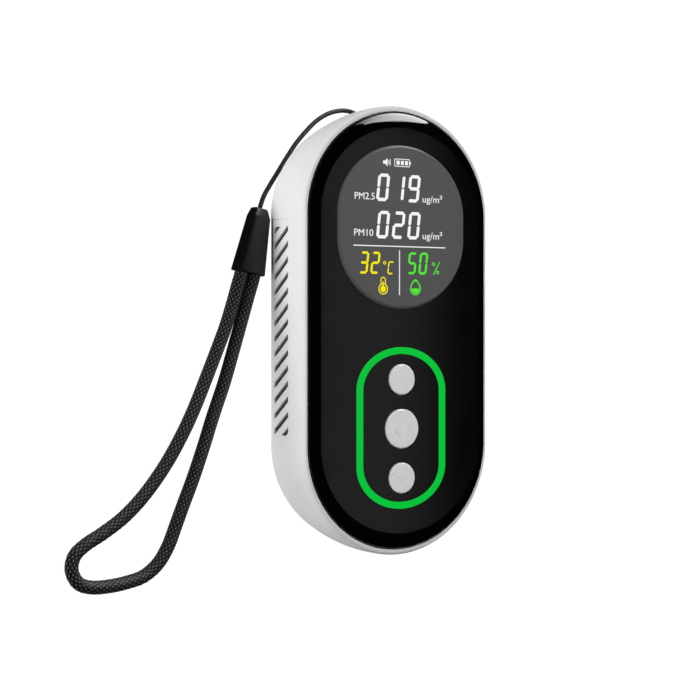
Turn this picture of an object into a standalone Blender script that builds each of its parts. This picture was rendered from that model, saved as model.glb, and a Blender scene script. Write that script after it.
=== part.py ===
"""A pocket air quality monitor, lying on its back, with its wrist lanyard laid out beside it.

+Z points out of the front face, +Y to the end that the lanyard leaves, +X to the right of someone
reading the display. The origin is the middle of the flat rear face. Lengths are in metres.
"""

import math

import bmesh
import bpy
from mathutils import Matrix, Vector

MM = 0.001

# Driving sizes.
BODY_HALF_WIDTH = 29.0 * MM
BODY_STRAIGHT = 30.7 * MM  # half the straight run of each side wall
BODY_FRONT = 21.15 * MM  # height of the rim round the front panel
WALL = 2.2 * MM
FIT = 0.3 * MM  # clearance between pieces that meet
ARC_STEPS = 22  # facets in each half-round end

# The back of the housing rounds in: a short curve along the sides, a long one at the ends.
SIDE_ROUND = (7.8 * MM, 4.7 * MM)  # inset, height
END_ROUND = (6.6 * MM, 16.5 * MM)
RIM_INSET = (0.6 * MM, 1.0 * MM)  # how far the rim rounds in, at the sides and at the ends
RIM_RISE = 1.5 * MM

PANEL_FACE = 22.8 * MM
PANEL_BACK = 20.3 * MM
PANEL_HALF_WIDTH = 27.75 * MM
PANEL_STRAIGHT = 30.15 * MM
PANEL_EDGE = (2.85 * MM, 4.2 * MM)  # width of the rolled edge, at the sides and at the ends

LEDGE_TOP = 19.2 * MM
LEDGE_BOTTOM = 17.2 * MM
LEDGE_HALF_WIDTH = 25.5 * MM
TAPE = (19.5 * MM, 20.0 * MM)

FLOOR = 2.5 * MM  # thickness of the housing's rear flange
COVER_THICKNESS = 2.2 * MM
COVER_HALF_WIDTH = 18.7 * MM
COVER_STRAIGHT = 31.0 * MM

WINDOW_Y = 27.4 * MM
WINDOW_HALF_WIDTH = 20.0 * MM
WINDOW_HALF_HEIGHT = 21.6 * MM
WINDOW_STRAIGHT = 3.1 * MM
WINDOW_FACE = PANEL_FACE + 0.6 * MM
WINDOW_CHAMFER = 0.6 * MM
WINDOW_SEAT = 21.2 * MM

RING_Y = -25.8 * MM
RING_STRAIGHT = 9.9 * MM
RING_OUTER = (14.1 * MM, 11.5 * MM)  # half width, depth of each round end
RING_INNER = (12.0 * MM, 9.75 * MM)
RING_SEAT = 21.4 * MM
LEG_X = 13.05 * MM
LEG_REACH = 6.0 * MM
LEG_RADIUS = 0.7 * MM

BUTTON_Y = -26.0 * MM
BUTTON_SPACING = 13.07 * MM
SMALL_BUTTON = 4.1 * MM
LARGE_BUTTON = 5.25 * MM
BUTTON_FACE = PANEL_FACE + 0.5 * MM

VENT_PITCH = 4.07 * MM
VENT_SLOTS = 15
VENT_FIRST = 31.0 * MM  # where the first slot's middle meets the front edge of the vent field
VENT_LEAN = 4.9 * MM  # how far a slot climbs across the field
VENT_SLOT = 1.6 * MM  # slot width along the wall
VENT_FIELD_Y = (-27.6 * MM, 27.4 * MM)
VENT_FIELD_Z = (5.3 * MM, 12.55 * MM)
VENT_RECESS = 0.2 * MM
VENT_RECESS_MARGIN = 2.1 * MM
VENT_WALL = 0.6 * MM  # what is left of the wall between the recess and a pocket inside

BOARD = (11.4 * MM, 13.0 * MM)
BOARD_HALF_WIDTH = 23.0 * MM
BOARD_STRAIGHT = 30.0 * MM

SCREW_RING = 15.5 * MM  # from the middle of each round end of the cover to its screws
SCREW_ANGLE = math.radians(50)

ANCHOR_Y = 53.8  # the lanyard's pin and hole, in millimetres like the routes below
ANCHOR_HEIGHT = 4.5
STRING_RADIUS = 0.65 * MM
LOOP_RADIUS = 1.8 * MM

FERRULE_BASE = Vector((-35.4 * MM, 15.2 * MM, 0.0))
FERRULE_TURN = math.radians(-13)
# Each section of the ferrule: distance from its base, width, thickness.
FERRULE_SECTIONS = ((0.0, 8.4, 5.4), (15.2, 5.5, 4.8), (17.6, 3.9, 3.8))
SOCKET_X = 1.9  # the loop's ends, either side of the ferrule's middle
SOCKET_Z = 2.65

STRING_ROUTE = (
    (0.0, 55.1, 4.5), (-0.1, 56.6, 4.4), (-0.6, 58.1, 3.5), (-1.7, 59.5, 2.0), (-3.4, 60.2, 1.0),
    (-6.0, 60.1, 0.75), (-9.4, 59.1, 0.75), (-13.0, 57.0, 0.75), (-16.4, 53.9, 0.75),
    (-19.6, 50.4, 0.75), (-22.5, 46.4, 0.75), (-25.2, 42.4, 0.75), (-27.7, 38.8, 0.85),
    (-29.8, 35.8, 1.35), (-31.25, 32.85, 1.9),
)
LOOP_ROUTE = (
    (-36.87, 17.29, 2.65), (-37.4, 15.0, 2.6), (-38.3, 11.6, 2.2), (-39.5, 7.2, 1.9),
    (-41.6, 1.0, 1.85), (-44.4, -5.7, 1.85), (-47.4, -12.6, 1.85), (-50.5, -19.6, 1.85),
    (-54.1, -26.6, 1.85), (-59.0, -34.5, 1.85), (-64.8, -41.8, 1.85), (-70.7, -47.4, 1.85),
    (-76.6, -51.3, 1.85), (-81.3, -53.9, 1.85), (-84.4, -56.6, 1.85), (-85.2, -60.2, 1.85),
    (-83.4, -63.5, 1.85), (-80.0, -64.8, 1.85), (-75.4, -64.9, 1.85), (-70.4, -64.3, 1.85),
    (-65.4, -63.0, 1.85), (-61.3, -60.0, 1.85), (-58.4, -55.7, 1.85), (-56.2, -50.5, 1.85),
    (-53.9, -44.9, 1.85), (-51.1, -38.3, 1.85), (-48.2, -30.6, 1.85), (-45.3, -22.3, 1.85),
    (-42.0, -13.6, 1.85), (-39.3, -5.2, 1.85), (-36.7, 3.2, 1.9), (-34.9, 9.4, 2.15),
    (-33.75, 13.6, 2.55), (-33.17, 16.43, 2.65),
)


def clear_scene():
    for item in list(bpy.data.objects):
        bpy.data.objects.remove(item)


def material(name, colour, roughness, metallic=0.0):
    made = bpy.data.materials.new(name)
    made.use_nodes = True
    shader = made.node_tree.nodes["Principled BSDF"]
    shader.inputs["Base Color"].default_value = (*colour, 1.0)
    shader.inputs["Roughness"].default_value = roughness
    shader.inputs["Metallic"].default_value = metallic
    made.diffuse_color = (*colour, 1.0)
    return made


def finish(name, mesh_builder, surface=None):
    """Turns a bmesh into a scene object of this name, faces pointing out."""
    bmesh.ops.recalc_face_normals(mesh_builder, faces=mesh_builder.faces)
    mesh = bpy.data.meshes.new(name)
    mesh_builder.to_mesh(mesh)
    mesh_builder.free()
    made = bpy.data.objects.new(name, mesh)
    bpy.context.scene.collection.objects.link(made)
    if surface is None:
        made.hide_render = True
        made.display_type = "WIRE"
    else:
        mesh.materials.append(surface)
        mesh.shade_smooth()
        mesh.set_sharp_from_angle(angle=math.radians(35))
    return made


def oblong(half_width, straight, end_depth, height, centre_y=0.0, steps=ARC_STEPS):
    """Two straight sides joined by round ends, anticlockwise from the right side's upper corner."""
    points = []
    for end in (1, -1):
        for step in range(steps + 1):
            angle = math.pi * step / steps
            x = end * half_width * math.cos(angle)
            y = end * (straight + end_depth * math.sin(angle))
            points.append(Vector((x, centre_y + y, height)))
    return points


def circle(centre_x, centre_y, radius, height, steps=24):
    points = []
    for step in range(steps):
        angle = math.tau * step / steps
        x = centre_x + radius * math.cos(angle)
        points.append(Vector((x, centre_y + radius * math.sin(angle), height)))
    return points


def loft(name, rings, surface=None):
    """A closed solid through outlines of equal length, with a flat cap on the first and the last."""
    shape = bmesh.new()
    loops = [[shape.verts.new(point) for point in ring] for ring in rings]
    for low, high in zip(loops, loops[1:]):
        for i in range(len(low)):
            j = (i + 1) % len(low)
            shape.faces.new((low[i], low[j], high[j], high[i]))
    shape.faces.new(reversed(loops[0]))
    shape.faces.new(loops[-1])
    return finish(name, shape, surface)


def disc(name, centre_x, centre_y, sections, surface=None, steps=24):
    """A round piece on a vertical axis: sections are (radius, height), bottom first."""
    rings = [circle(centre_x, centre_y, radius, height, steps) for radius, height in sections]
    return loft(name, rings, surface)


def block(name, low, high, surface=None, edge=0.0):
    """A box between two corners, in millimetres, its upright edges rounded by a bevel."""
    shape = bmesh.new()
    bmesh.ops.create_cube(shape, size=1.0)
    low, high = Vector(low) * MM, Vector(high) * MM
    size = high - low
    bmesh.ops.scale(shape, vec=size, verts=shape.verts)
    bmesh.ops.translate(shape, vec=(low + high) / 2, verts=shape.verts)
    if edge:
        upright = [e for e in shape.edges if abs(e.verts[0].co.z - e.verts[1].co.z) > size.z / 2]
        bmesh.ops.bevel(
            shape, geom=upright, offset=edge * MM, segments=3, affect="EDGES", profile=0.5, material=-1
        )
    return finish(name, shape, surface)


def boolean(target, tool, operation):
    change = target.modifiers.new(tool.name, "BOOLEAN")
    change.operation = operation
    change.object = tool
    tool.hide_render = True
    tool.display_type = "WIRE"


def cut(target, *tools):
    for tool in tools:
        boolean(target, tool, "DIFFERENCE")


def join(target, *tools):
    for tool in tools:
        boolean(target, tool, "UNION")


def inset_at(height, rounding):
    """How far the housing has drawn in at this height, on a quarter ellipse."""
    inset, rise = rounding
    drop = max(0.0, (rise - height) / rise)
    return inset * (1.0 - math.sqrt(1.0 - drop * drop))


def body_ring(height, inward=(0.0, 0.0)):
    half_width = BODY_HALF_WIDTH - inset_at(height, SIDE_ROUND) - inward[0]
    end_depth = BODY_HALF_WIDTH - inset_at(height, END_ROUND) - inward[1]
    return oblong(half_width, BODY_STRAIGHT, end_depth, height)


def screw_places():
    for end in (1, -1):
        for side in (1, -1):
            x = side * SCREW_RING * math.cos(SCREW_ANGLE)
            y = end * (COVER_STRAIGHT + SCREW_RING * math.sin(SCREW_ANGLE))
            yield x, y


def screw_lugs():
    """Radial bars from the rear flange over the cover, one for each screw."""
    shape = bmesh.new()
    for x, y in screw_places():
        centre_y = math.copysign(COVER_STRAIGHT, y)
        angle = math.atan2(y - centre_y, x)
        corners = bmesh.ops.create_cube(shape, size=1.0)["verts"]
        bmesh.ops.scale(shape, vec=(9.5 * MM, 6.0 * MM, 5.0 * MM), verts=corners)
        bmesh.ops.translate(shape, vec=(17.2 * MM, 0.0, 4.0 * MM), verts=corners)
        turn = Matrix.Rotation(angle, 3, "Z")
        bmesh.ops.rotate(shape, cent=(0.0, 0.0, 0.0), matrix=turn, verts=corners)
        bmesh.ops.translate(shape, vec=(0.0, centre_y, 0.0), verts=corners)
    return finish("screw_lugs", shape)


def vent_slots(side):
    """The slanted slots of one side wall, trimmed to the vent field."""
    shape = bmesh.new()
    low_z, high_z = VENT_FIELD_Z
    slope = VENT_LEAN / (high_z - low_z)
    reach = 4.0 * MM
    for number in range(VENT_SLOTS):
        front_y = VENT_FIRST - number * VENT_PITCH
        slot = bmesh.ops.create_cube(shape, size=1.0)["verts"]
        bmesh.ops.scale(shape, vec=(reach, VENT_SLOT, high_z - low_z), verts=slot)
        for corner in slot:
            corner.co.z += (low_z + high_z) / 2
            corner.co.y += front_y - (high_z - corner.co.z) * slope
            corner.co.x += side * (BODY_HALF_WIDTH - reach / 4)
    for plane_y, outward in ((VENT_FIELD_Y[1], 1), (VENT_FIELD_Y[0], -1)):
        everything = shape.verts[:] + shape.edges[:] + shape.faces[:]
        bmesh.ops.bisect_plane(
            shape, geom=everything, dist=1e-7, plane_co=(0, plane_y, 0), plane_no=(0, outward, 0),
            clear_outer=True,
        )
        bmesh.ops.holes_fill(shape, edges=[e for e in shape.edges if e.is_boundary], sides=0)
    return finish(f"vent_slots_{side}", shape)


def vent_relief(name, side, near, far, low_z, high_z):
    """A shallow cut the length of the vent field, between two distances out from the middle."""
    low_y = (VENT_FIELD_Y[0] - VENT_RECESS_MARGIN) / MM
    high_y = (VENT_FIELD_Y[1] + VENT_RECESS_MARGIN) / MM
    xs = sorted((side * near / MM, side * far / MM))
    return block(f"{name}_{side}", (xs[0], low_y, low_z), (xs[1], high_y, high_z))


def make_housing(surface):
    heights = [h * MM for h in (0.0, 0.35, 0.9, 1.7, 3.0, 4.7, 7.5, 11.5, 16.5)]
    rings = [body_ring(height) for height in heights]
    for degrees in (0, 30, 60, 90):
        turn = math.radians(degrees)
        drawn_in = [inset * (1 - math.cos(turn)) for inset in RIM_INSET]
        rings.append(body_ring(BODY_FRONT - RIM_RISE * (1 - math.sin(turn)), drawn_in))
    housing = loft("housing", rings, surface)

    hollow_heights = (FLOOR, 4.7 * MM, 8.0 * MM, 12.0 * MM, LEDGE_BOTTOM)
    hollow = [body_ring(height, (WALL, WALL)) for height in hollow_heights]
    for height in (LEDGE_BOTTOM, LEDGE_TOP):
        hollow.append(oblong(LEDGE_HALF_WIDTH, PANEL_STRAIGHT, LEDGE_HALF_WIDTH, height))
    lip = PANEL_HALF_WIDTH + FIT
    for height in (LEDGE_TOP, BODY_FRONT + 2 * MM):
        hollow.append(oblong(lip, PANEL_STRAIGHT, lip, height))
    cut(housing, loft("housing_hollow", hollow))

    posts = [
        block(f"anchor_post_{side}", (side * 3.25 - 1.25, 52.3, 2.0), (side * 3.25 + 1.25, 55.6, 6.8))
        for side in (-1, 1)
    ]
    join(housing, screw_lugs(), *posts)
    opening = COVER_HALF_WIDTH + FIT
    rear = [oblong(opening, COVER_STRAIGHT, opening, height) for height in (-MM, FLOOR)]
    cut(housing, loft("rear_opening", rear))
    for number, (x, y) in enumerate(screw_places(), 1):
        cut(housing, disc(f"lug_hole_{number}", x, y, ((1.3 * MM, MM), (1.3 * MM, 8 * MM)), steps=12))
    face = BODY_HALF_WIDTH - VENT_RECESS
    for side in (-1, 1):
        cut(housing, vent_relief("vent_recess", side, face, face + 3 * MM, 3.0, 12.85))
        pocket_wall = face - VENT_WALL
        cut(housing, vent_relief("vent_pocket", side, pocket_wall - 3 * MM, pocket_wall, 4.6, 13.4))
        cut(housing, vent_slots(side))
    cut(housing, block("usb_opening", (-4.9, -62.0, 12.9), (4.9, -55.0, 16.9)))
    hole_ends = [(0.0, y, ANCHOR_HEIGHT) for y in (50.0, 62.0)]
    cut(housing, rod("string_hole", *hole_ends, 1.5, steps=12))
    pin_ends = [(x, ANCHOR_Y, ANCHOR_HEIGHT) for x in (-4.0, 4.0)]
    cut(housing, rod("pin_hole", *pin_ends, 1.1, steps=12))
    return housing


def rod(name, start, end, radius, surface=None, steps=16):
    """A round bar between two points, in millimetres."""
    start, end = Vector(start) * MM, Vector(end) * MM
    shape = bmesh.new()
    bmesh.ops.create_cone(
        shape, cap_ends=True, segments=steps, radius1=radius * MM, radius2=radius * MM,
        depth=(end - start).length,
    )
    turn = (end - start).to_track_quat("Z", "Y").to_matrix()
    bmesh.ops.rotate(shape, cent=(0.0, 0.0, 0.0), matrix=turn, verts=shape.verts)
    bmesh.ops.translate(shape, vec=(start + end) / 2, verts=shape.verts)
    return finish(name, shape, surface)


def make_rear_cover(plastic, steel):
    rings = [
        oblong(COVER_HALF_WIDTH, COVER_STRAIGHT, COVER_HALF_WIDTH, height)
        for height in (0.0, COVER_THICKNESS)
    ]
    cover = loft("rear_cover", rings, plastic)
    for number, (x, y) in enumerate(screw_places(), 1):
        sections = ((2.3, -1.0), (2.3, 1.3), (1.3, 1.3), (1.3, 4.0))
        sections = [(radius * MM, height * MM) for radius, height in sections]
        cut(cover, disc(f"cover_hole_{number}", x, y, sections, steps=16))
        screw(f"cover_screw_{number}", x, y, 0.1, 5.8, steel)


def screw(name, x, y, head, tip, surface):
    """A pan head screw standing on its head, with a cross recess in it; heights in millimetres."""
    sections = ((1.7, head), (1.95, head + 0.3), (1.95, head + 0.9), (0.95, head + 0.9), (0.95, tip))
    made = disc(name, x, y, [(r * MM, z * MM) for r, z in sections], surface, steps=16)
    centre_x, centre_y = x / MM, y / MM
    along = ((1.1, 0.2), (0.2, 1.1))
    for number, (reach_x, reach_y) in enumerate(along):
        low = (centre_x - reach_x, centre_y - reach_y, head - 1.0)
        high = (centre_x + reach_x, centre_y + reach_y, head + 0.5)
        cut(made, block(f"{name}_cross_{number}", low, high))
    return made


def panel_ring(inward, height):
    half_width, end_depth = [PANEL_HALF_WIDTH - inset for inset in inward]
    return oblong(half_width, PANEL_STRAIGHT, end_depth, height)


def window_ring(inward, height):
    end_depth = WINDOW_HALF_HEIGHT - WINDOW_STRAIGHT - inward
    return oblong(WINDOW_HALF_WIDTH - inward, WINDOW_STRAIGHT, end_depth, height, WINDOW_Y)


def light_ring_outline(sizes, outward, height):
    half_width, end_depth = sizes
    return oblong(half_width + outward, RING_STRAIGHT, end_depth + outward, height, RING_Y, 16)


def leg_places():
    for side in (-1, 1):
        for end in (-1, 1):
            yield side * LEG_X, RING_Y + end * LEG_REACH


def button_places():
    yield "up", BUTTON_Y + BUTTON_SPACING, SMALL_BUTTON
    yield "centre", BUTTON_Y, LARGE_BUTTON
    yield "down", BUTTON_Y - BUTTON_SPACING, SMALL_BUTTON


def make_front_panel(surface):
    """Glossy panel with a rolled edge, a seat for the window and a groove for the light ring."""
    rings = [panel_ring((0.0, 0.0), PANEL_BACK)]
    for step in range(6):
        angle = math.radians(90) * step / 5
        height = BODY_FRONT + (PANEL_FACE - BODY_FRONT) * math.sin(angle)
        rings.append(panel_ring([width * (1 - math.cos(angle)) for width in PANEL_EDGE], height))
    panel = loft("front_panel", rings, surface)
    seat = [window_ring(1.5 * MM, h) for h in (PANEL_BACK - MM, WINDOW_SEAT)]
    seat += [window_ring(-0.25 * MM, h) for h in (WINDOW_SEAT, PANEL_FACE + MM)]
    cut(panel, loft("window_seat", seat))
    groove = loft(
        "ring_groove", [light_ring_outline(RING_OUTER, 0.25 * MM, h) for h in (RING_SEAT, 24 * MM)]
    )
    island = loft(
        "ring_island", [light_ring_outline(RING_INNER, -0.25 * MM, h) for h in (RING_SEAT - MM, 25 * MM)]
    )
    cut(groove, island)
    cut(panel, groove)
    for number, (x, y) in enumerate(leg_places()):
        cut(panel, disc(f"leg_hole_{number}", x, y, ((MM, 19 * MM), (MM, 22 * MM)), steps=12))
    for name, y, radius in button_places():
        sides = ((radius + FIT, 19 * MM), (radius + FIT, 24 * MM))
        cut(panel, disc(f"button_hole_{name}", 0.0, y, sides))
    return panel


def make_window(surface):
    rings = [window_ring(0.0, WINDOW_SEAT + FIT), window_ring(0.0, WINDOW_FACE - WINDOW_CHAMFER)]
    rings.append(window_ring(WINDOW_CHAMFER, WINDOW_FACE))
    return loft("display_window", rings, surface)


def make_light_ring(surface):
    """Flush band, cut through its middle, with four legs that bring the light up from the board."""
    heights = (RING_SEAT + FIT, PANEL_FACE)
    ring = loft("light_ring", [light_ring_outline(RING_OUTER, 0.0, h) for h in heights], surface)
    middle = [light_ring_outline(RING_INNER, 0.0, h) for h in (20 * MM, 24 * MM)]
    cut(ring, loft("light_ring_middle", middle))
    for number, (x, y) in enumerate(leg_places()):
        sides = ((LEG_RADIUS, 14.7 * MM), (LEG_RADIUS, 22.2 * MM))
        join(ring, disc(f"light_leg_{number}", x, y, sides, steps=8))
    return ring


def make_buttons(surface, switch_plastic, switch_stem):
    for name, y, radius in button_places():
        sections = (
            (1.6 * MM, 16.1 * MM), (1.6 * MM, 19.0 * MM), (radius + MM, 19.0 * MM),
            (radius + MM, 19.9 * MM), (radius, 19.9 * MM), (radius, BUTTON_FACE - 0.5 * MM),
            (radius - 0.15 * MM, BUTTON_FACE - 0.15 * MM), (radius - 0.5 * MM, BUTTON_FACE),
        )
        disc(f"button_{name}", 0.0, y, sections, surface)
        disc(f"plunger_{name}", 0.0, y, ((1.4 * MM, 14.3 * MM), (1.4 * MM, 15.8 * MM)), switch_stem, 12)
        low_y, high_y = y / MM - 3.0, y / MM + 3.0
        switch = block(f"switch_{name}", (-3.0, low_y, 13.3), (3.0, high_y, 15.2), switch_plastic)
        pocket = ((1.75 * MM, 13.6 * MM), (1.75 * MM, 16 * MM))
        cut(switch, disc(f"switch_pocket_{name}", 0.0, y, pocket, steps=12))


def make_button_frame(surface):
    """Guide plate under the panel, with a sleeve for each button stem and a boss for each screw."""
    frame = block("button_frame", (-20.0, -50.0, 15.6), (20.0, 3.5, 18.0), surface, edge=8.0)
    for number, (x, y) in enumerate(board_screw_places()):
        join(frame, disc(f"frame_boss_{number}", x, y, ((2.6 * MM, 13.3 * MM), (2.6 * MM, 17 * MM))))
        cut(frame, disc(f"boss_hole_{number}", x, y, ((1.2 * MM, 13 * MM), (1.2 * MM, 17 * MM)), steps=12))
    for name, y, _ in button_places():
        cut(frame, disc(f"stem_hole_{name}", 0.0, y, ((2.1 * MM, 15 * MM), (2.1 * MM, 19 * MM)), steps=16))
    for number, (x, y) in enumerate(leg_places()):
        cut(frame, disc(f"frame_leg_hole_{number}", x, y, ((MM, 15 * MM), (MM, 19 * MM)), steps=12))
    return frame


def board_screw_places():
    yield -17.0 * MM, -3.0 * MM
    yield 17.0 * MM, -3.0 * MM
    yield 0.0, -46.6 * MM


def make_board(green, black, white, steel):
    rings = [oblong(BOARD_HALF_WIDTH, BOARD_STRAIGHT, BOARD_HALF_WIDTH, h, steps=12) for h in BOARD]
    board = loft("main_board", rings, green)
    for number, (x, y) in enumerate(board_screw_places(), 1):
        cut(board, disc(f"board_hole_{number}", x, y, ((1.25 * MM, 10 * MM), (1.25 * MM, 14 * MM)), steps=12))
        screw(f"board_screw_{number}", x, y, 10.2, 16.6, steel)
    for number, (x, y) in enumerate(leg_places(), 1):
        low = (x / MM - 1.0, y / MM - 0.8, 13.3)
        block(f"led_{number}", low, (low[0] + 2.0, low[1] + 1.6, 14.3), white)
    block("control_chip", (-19.5, -24.0, 13.3), (-15.0, -19.5, 14.4), black)
    shell = block("usb_port", (-4.5, -59.3, 13.3), (4.5, -52.0, 16.5), steel, edge=0.0)
    cut(shell, block("usb_mouth", (-4.1, -61.0, 13.7), (4.1, -53.0, 16.1)))
    join(shell, block("usb_tongue", (-3.3, -58.6, 14.6), (3.3, -52.5, 15.2)))
    disc("buzzer", 10.0 * MM, -44.5 * MM, ((4.0 * MM, 6.9 * MM), (4.0 * MM, 11.1 * MM)), black)
    block("battery_plug", (-18.5, -44.5, 8.1), (-12.5, -40.2, 11.1), white)


def make_display_stack(glass, white, amber):
    block("lcd_backlight", (-17.0, 7.3, 13.3), (17.0, 47.3, 17.5), white, edge=1.0)
    block("lcd_glass", (-16.5, 7.8, 17.8), (16.5, 46.9, 19.9), glass)
    block("lcd_flex", (-9.0, 5.2, 13.3), (9.0, 7.0, 15.2), amber)


def make_power(battery_skin, wire):
    block("battery", (-16.5, -38.0, 2.6), (16.5, 1.5, 8.6), battery_skin, edge=2.0)
    route = ((-15.5, -38.3, 5.6), (-15.5, -39.2, 5.8), (-15.5, -40.4, 6.7), (-15.5, -41.6, 7.8))
    tube("battery_lead", [Vector(point) * MM for point in route], 0.6 * MM, wire)


def make_sensor(metal, black, brass, white, green):
    """Laser particle sensor: a moulded case with a fan that draws room air past the beam."""
    case = block("sensor_case", (-18.0, 4.0, 2.6), (18.0, 38.0, 9.8), black)
    cut(case, block("sensor_hollow", (-17.0, 5.0, 3.6), (17.0, 37.0, 11.0)))
    cut(case, block("sensor_outlet", (-20.0, 9.0, 4.6), (-16.0, 20.0, 8.6)))
    lid = block("sensor_lid", (-18.0, 4.0, 10.1), (18.0, 38.0, 10.9), metal)
    cut(lid, disc("lid_inlet", -6.5 * MM, 15.0 * MM, ((6.0 * MM, 9 * MM), (6.0 * MM, 12 * MM))))
    fan_x, fan_y = -6.5 * MM, 15.0 * MM
    hub = ((3.4 * MM, 4.6 * MM), (3.4 * MM, 8.4 * MM), (2.8 * MM, 8.9 * MM))
    rotor = disc("fan_rotor", fan_x, fan_y, hub, black, steps=20)
    blades = bmesh.new()
    for number in range(7):
        blade = bmesh.ops.create_cube(blades, size=1.0)["verts"]
        bmesh.ops.scale(blades, vec=(5.6 * MM, 0.7 * MM, 3.4 * MM), verts=blade)
        pitch = Matrix.Rotation(math.radians(30), 3, "X")
        bmesh.ops.rotate(blades, cent=(0.0, 0.0, 0.0), matrix=pitch, verts=blade)
        bmesh.ops.translate(blades, vec=(5.6 * MM, 0.0, 6.4 * MM), verts=blade)
        turn = Matrix.Rotation(math.tau * number / 7, 3, "Z")
        bmesh.ops.rotate(blades, cent=(0.0, 0.0, 0.0), matrix=turn, verts=blade)
    bmesh.ops.translate(blades, vec=(fan_x, fan_y, 0.0), verts=blades.verts)
    join(rotor, finish("fan_blades", blades))
    block("fan_bearing", (-8.5, 13.0, 3.9), (-4.5, 17.0, 4.3), brass)
    rod("laser_module", (10.5, 20.0, 6.6), (10.5, 30.0, 6.6), 2.4, brass)
    block("photodiode", (9.0, 31.0, 3.9), (12.0, 32.6, 8.2), black)
    block("climate_board", (-24.6, -20.0, 8.2), (-19.6, -8.0, 9.2), green)
    block("climate_sensor", (-23.4, -15.4, 9.5), (-20.8, -12.8, 10.4), white)


def make_trim(mesh_cloth, foam):
    for name, side in (("left", -1), ("right", 1)):
        xs = sorted((side * 27.5, side * 27.9))
        block(f"vent_mesh_{name}", (xs[0], -29.2, 4.9), (xs[1], 29.0, 13.1), mesh_cloth)
    tape = loft(
        "panel_tape", [oblong(27.4 * MM, PANEL_STRAIGHT, 27.4 * MM, h) for h in TAPE], foam
    )
    inner = [oblong(25.9 * MM, PANEL_STRAIGHT, 25.9 * MM, h) for h in (TAPE[0] - MM, TAPE[1] + MM)]
    cut(tape, loft("tape_middle", inner))


def smooth_route(points, spacing):
    """Points at an even spacing along a smooth curve through the route's own points."""
    route = [Vector(point) * MM for point in points]
    ends = [2 * route[0] - route[1]] + route + [2 * route[-1] - route[-2]]
    fine = []
    for before, start, end, after in zip(ends, ends[1:], ends[2:], ends[3:]):
        for step in range(12):
            t = step / 12
            fine.append(
                0.5 * (
                    2 * start + (end - before) * t
                    + (2 * before - 5 * start + 4 * end - after) * t**2
                    + (3 * start - before - 3 * end + after) * t**3
                )
            )
    fine.append(route[-1])
    lengths = [0.0]
    for a, b in zip(fine, fine[1:]):
        lengths.append(lengths[-1] + (b - a).length)
    count = max(2, round(lengths[-1] / spacing))
    even, place = [], 0
    for step in range(count + 1):
        goal = lengths[-1] * step / count
        while place < len(fine) - 2 and lengths[place + 1] < goal:
            place += 1
        part = (goal - lengths[place]) / (lengths[place + 1] - lengths[place])
        even.append(fine[place].lerp(fine[place + 1], part))
    return even


def tube(name, points, radius, surface):
    data = bpy.data.curves.new(name, "CURVE")
    data.dimensions = "3D"
    data.bevel_depth = radius
    data.bevel_resolution = 2
    data.use_fill_caps = True
    spline = data.splines.new("POLY")
    spline.points.add(len(points) - 1)
    for point, place in zip(spline.points, points):
        point.co = (*place, 1.0)
    data.materials.append(surface)
    made = bpy.data.objects.new(name, data)
    bpy.context.scene.collection.objects.link(made)
    return made


def make_lanyard(braid, black, steel):
    """Pin in the housing, thin string, moulded ferrule and the braided wrist loop."""
    pin_ends = [(x, ANCHOR_Y, ANCHOR_HEIGHT) for x in (-3.7, 3.7)]
    rod("lanyard_pin", *pin_ends, 0.8, steel, steps=12)
    tube("lanyard_string", smooth_route(STRING_ROUTE, 4 * STRING_RADIUS), STRING_RADIUS, braid)
    tube("lanyard_loop", smooth_route(LOOP_ROUTE, 2 * LOOP_RADIUS), LOOP_RADIUS, braid)

    shape = bmesh.new()
    loops = []
    for along, width, thickness in FERRULE_SECTIONS:
        half, corner = width / 2, 1.1
        outline = (
            (-half, corner), (-half, thickness - corner), (-half + corner, thickness),
            (half - corner, thickness), (half, thickness - corner), (half, corner),
            (half - corner, 0.0), (-half + corner, 0.0),
        )
        loops.append([shape.verts.new(Vector((x, along, z)) * MM) for x, z in outline])
    for low, high in zip(loops, loops[1:]):
        for i in range(len(low)):
            j = (i + 1) % len(low)
            shape.faces.new((low[i], low[j], high[j], high[i]))
    shape.faces.new(loops[0])
    shape.faces.new(reversed(loops[-1]))
    sockets = []
    for side, ends in (("left", -SOCKET_X), ("right", SOCKET_X)):
        sockets.append(rod(f"socket_{side}", (ends, -1.0, SOCKET_Z), (ends, 2.1, SOCKET_Z), 1.95))
    ferrule = finish("lanyard_ferrule", shape, black)
    cut(ferrule, *sockets)
    turn = Matrix.Translation(FERRULE_BASE) @ Matrix.Rotation(FERRULE_TURN, 4, "Z")
    for piece in (ferrule, *sockets):
        piece.data.transform(turn)


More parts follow.
